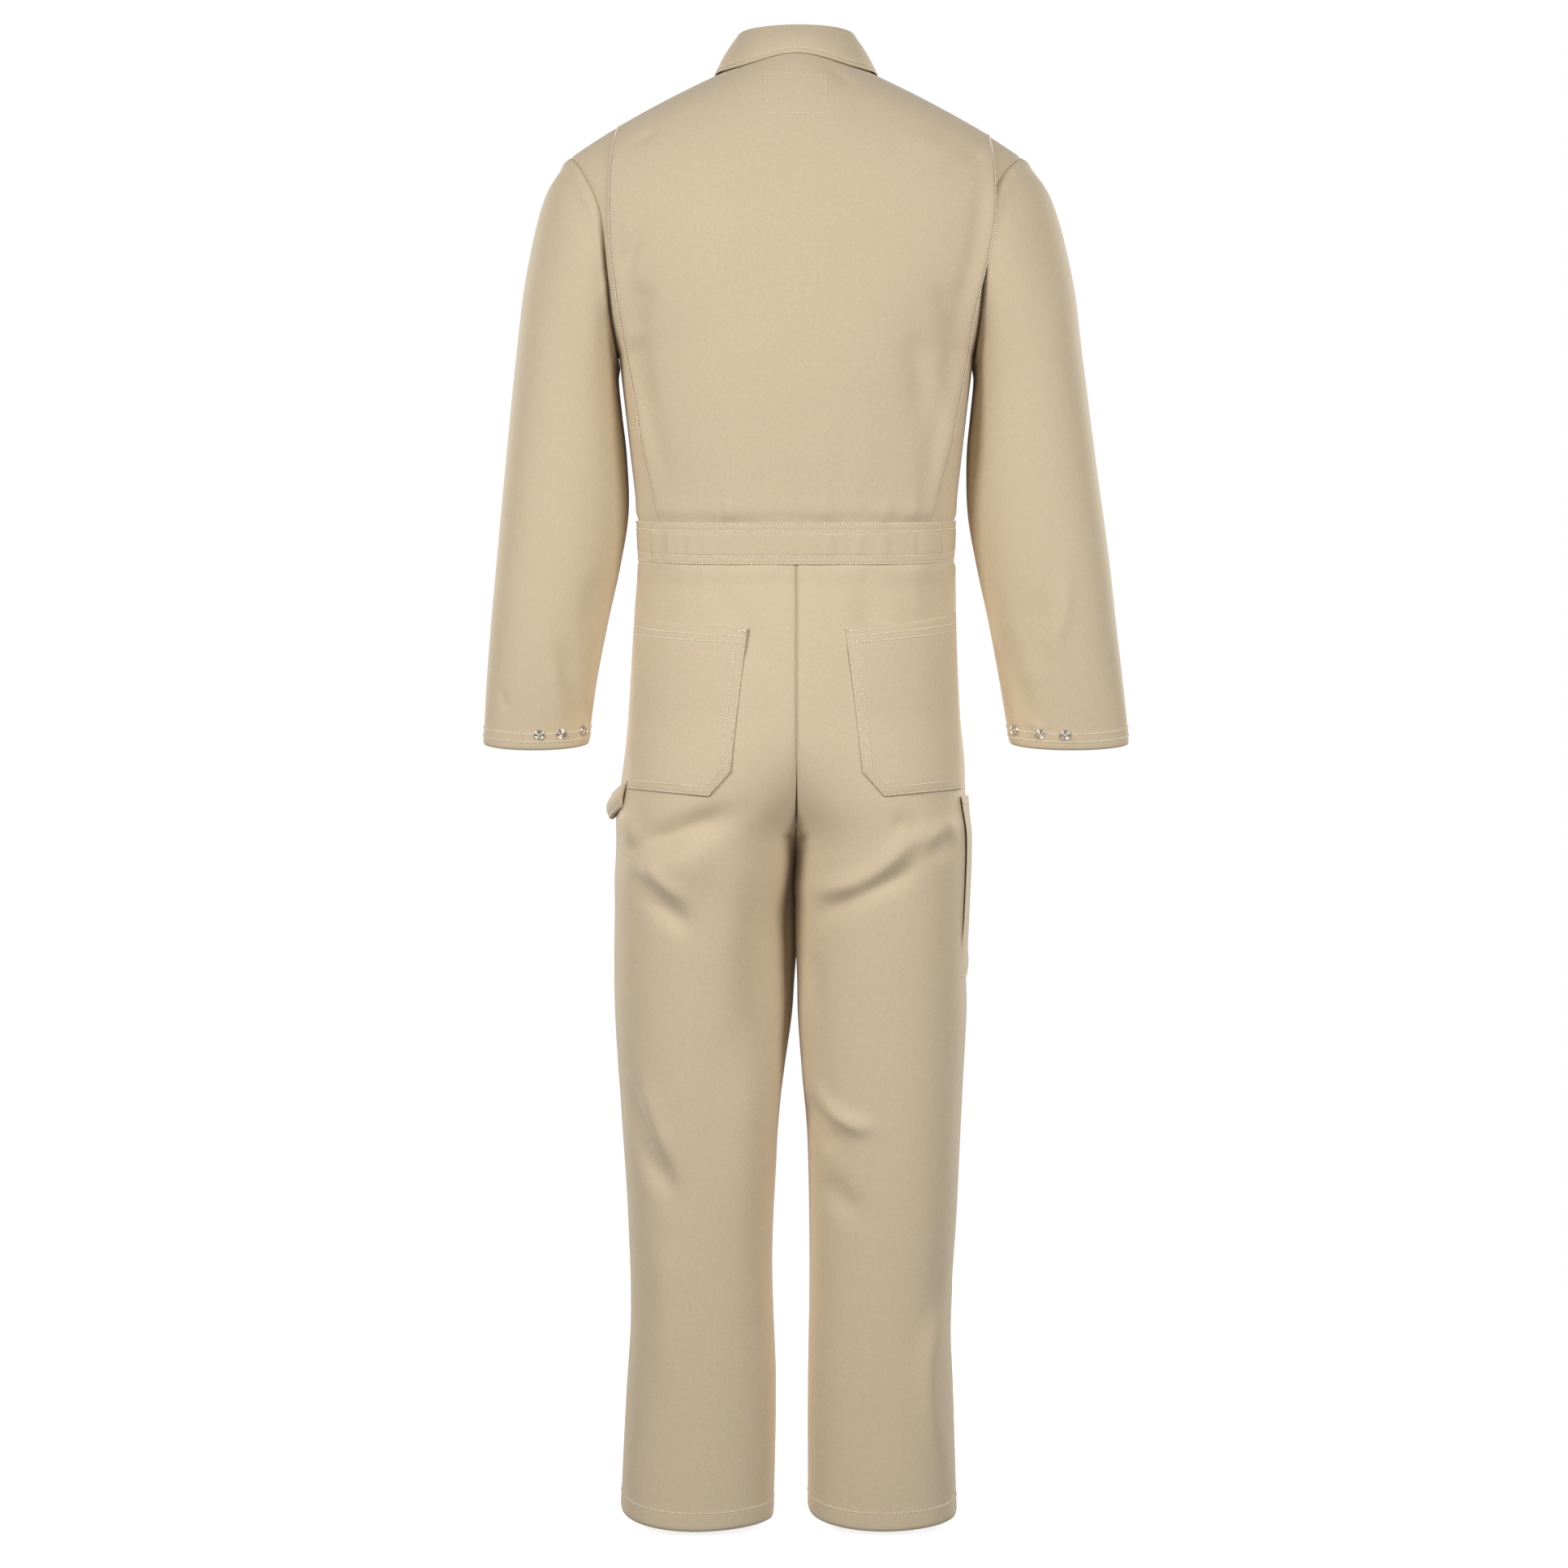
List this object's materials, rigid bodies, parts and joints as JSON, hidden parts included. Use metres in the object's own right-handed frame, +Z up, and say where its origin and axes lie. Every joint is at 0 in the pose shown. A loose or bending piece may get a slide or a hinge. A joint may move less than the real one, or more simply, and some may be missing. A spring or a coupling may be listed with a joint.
{
  "type": "zip-front work coverall",
  "caption": "Long-sleeved zip-front work coverall in khaki twill, seen as worn, hollow inside, with patch pockets, pleated back, waistband, tool pocket and loop.",
  "frame": {"origin": "centre of the neck at the height where the shoulder seams meet the collar, midway between the shoulder seams", "axes": "+Z up along the body, +X to the wearer's left, +Y out of the wearer's back, so the zip faces -Y"},
  "size_m": [0.7182, 0.251, 1.649],
  "materials": {
    "twill": "matte",
    "zip_tape": "matte",
    "elastic": "matte",
    "label": "matte",
    "zip_brass": "satin",
    "snap_nickel": "polished"
  },
  "bodies": {
    "root": {"back_panel": "twill", "back_side_left": "twill", "back_side_right": "twill", "front_panel_left": "twill", "front_panel_right": "twill", "collar_stand": "twill", "collar_leaf": "twill", "waistband_back": "twill", "waistband_front_left": "twill", "waistband_front_right": "twill", "trouser_back_left": "twill", "trouser_back_right": "twill", "trouser_front_left": "twill", "trouser_front_right": "twill", "back_pocket_left": "twill", "back_pocket_right": "twill", "ruler_pocket": "twill", "hammer_loop": "twill", "hand_pocket_bag_left": "twill", "hand_pocket_bag_right": "twill", "chest_pocket_left": "twill", "chest_pocket_right": "twill", "neck_label": "label", "waist_elastic": "elastic", "zip_tape_left": "zip_tape", "zip_tape_right": "zip_tape", "zip_chain_left": "zip_brass", "zip_chain_right": "zip_brass", "zip_bottom_stop": "zip_brass"},
    "sleeve_left": {"sleeve_left": "twill", "cuff_snap_left_1": "snap_nickel", "cuff_snap_left_2": "snap_nickel", "cuff_snap_left_3": "snap_nickel"},
    "sleeve_right": {"sleeve_right": "twill", "cuff_snap_right_1": "snap_nickel", "cuff_snap_right_2": "snap_nickel", "cuff_snap_right_3": "snap_nickel"},
    "zip_slider_top": {"zip_slider_top": "zip_brass"},
    "zip_pull_top": {"zip_pull_top": "zip_brass"},
    "zip_slider_bottom": {"zip_slider_bottom": "zip_brass"},
    "zip_pull_bottom": {"zip_pull_bottom": "zip_brass"},
    "chest_flap_left": {"chest_flap_left": "twill", "chest_flap_snap_left": "snap_nickel"},
    "chest_flap_right": {"chest_flap_right": "twill", "chest_flap_snap_right": "snap_nickel"}
  },
  "joints": [
    {"name": "sleeve_left_lift", "type": "hinge", "parent": "root", "child": "sleeve_left", "pos_m": [0.251, 0, -0.092], "axis": [0, -1, 0], "range_deg": [0, 50]},
    {"name": "sleeve_right_lift", "type": "hinge", "parent": "root", "child": "sleeve_right", "pos_m": [-0.251, 0, -0.092], "axis": [0, 1, 0], "range_deg": [0, 50]},
    {"name": "zip_top_slide", "type": "slide", "parent": "root", "child": "zip_slider_top", "axis": [0, 0, -1], "range_m": [0, 0.44]},
    {"name": "zip_top_pull", "type": "hinge", "parent": "zip_slider_top", "child": "zip_pull_top", "pos_m": [0, -0.1144, -0.0588], "axis": [-1, 0, 0], "range_deg": [0, 150]},
    {"name": "zip_bottom_slide", "type": "slide", "parent": "root", "child": "zip_slider_bottom", "axis": [0, 0, 1], "range_m": [0, 0.14]},
    {"name": "zip_bottom_pull", "type": "hinge", "parent": "zip_slider_bottom", "child": "zip_pull_bottom", "pos_m": [0, -0.1144, -0.6918], "axis": [-1, 0, 0], "range_deg": [0, 150]},
    {"name": "chest_flap_left_lift", "type": "hinge", "parent": "root", "child": "chest_flap_left", "pos_m": [0.10542, -0.11098, -0.178], "axis": [-0.9934, -0.1148, 0], "range_deg": [0, 120]},
    {"name": "chest_flap_right_lift", "type": "hinge", "parent": "root", "child": "chest_flap_right", "pos_m": [-0.10542, -0.11098, -0.178], "axis": [-0.9934, 0.1148, 0], "range_deg": [0, 120]}
  ]
}
